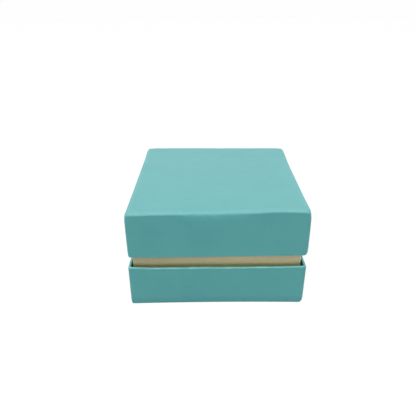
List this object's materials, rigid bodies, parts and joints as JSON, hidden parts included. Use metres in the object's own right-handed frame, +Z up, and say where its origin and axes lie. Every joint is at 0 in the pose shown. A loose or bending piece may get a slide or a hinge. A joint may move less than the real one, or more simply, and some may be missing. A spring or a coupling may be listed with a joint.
{
  "type": "jewelry gift box",
  "caption": "Square two-piece rigid paper gift box: lift-off lid over a raised cream neck set in a shallow base, with a loose slotted pad inside for jewelry.",
  "frame": {"origin": "centre of the underside, where the box stands", "axes": "+Z up through the lid; -Y is the front face, +X is the right side seen from the front"},
  "size_m": [0.09, 0.09, 0.0535],
  "materials": {
    "turquoise_paper": "satin",
    "cream_paper": "matte",
    "lining_paper": "matte",
    "stay_paper": "matte",
    "greyboard": "matte",
    "foam": "matte",
    "velvet": "matte"
  },
  "bodies": {
    "base": {"base_foot_sheet": "turquoise_paper", "base_bottom_board": "greyboard", "base_front_board": "greyboard", "base_back_board": "greyboard", "base_left_board": "greyboard", "base_right_board": "greyboard", "base_corner_stay_front_left": "stay_paper", "base_corner_stay_front_right": "stay_paper", "base_corner_stay_back_left": "stay_paper", "base_corner_stay_back_right": "stay_paper", "base_wrap": "turquoise_paper", "base_liner": "lining_paper", "neck_front_board": "greyboard", "neck_back_board": "greyboard", "neck_left_board": "greyboard", "neck_right_board": "greyboard", "neck_wrap": "cream_paper"},
    "lid": {"lid_top_board": "greyboard", "lid_front_board": "greyboard", "lid_back_board": "greyboard", "lid_left_board": "greyboard", "lid_right_board": "greyboard", "lid_corner_stay_front_left": "stay_paper", "lid_corner_stay_front_right": "stay_paper", "lid_corner_stay_back_left": "stay_paper", "lid_corner_stay_back_right": "stay_paper", "lid_wrap": "turquoise_paper", "lid_liner": "lining_paper"},
    "pad": {"pad_card": "greyboard", "pad_foam_core": "foam", "pad_foam_front_strip": "foam", "pad_foam_back_strip": "foam", "pad_cover": "velvet"}
  },
  "joints": [
    {"name": "lid_lift", "type": "slide", "parent": "base", "child": "lid", "axis": [0, 0, 1], "range_m": [0, 0.06]},
    {"name": "pad_lift", "type": "slide", "parent": "base", "child": "pad", "axis": [0, 0, 1], "range_m": [0, 0.0155]}
  ]
}
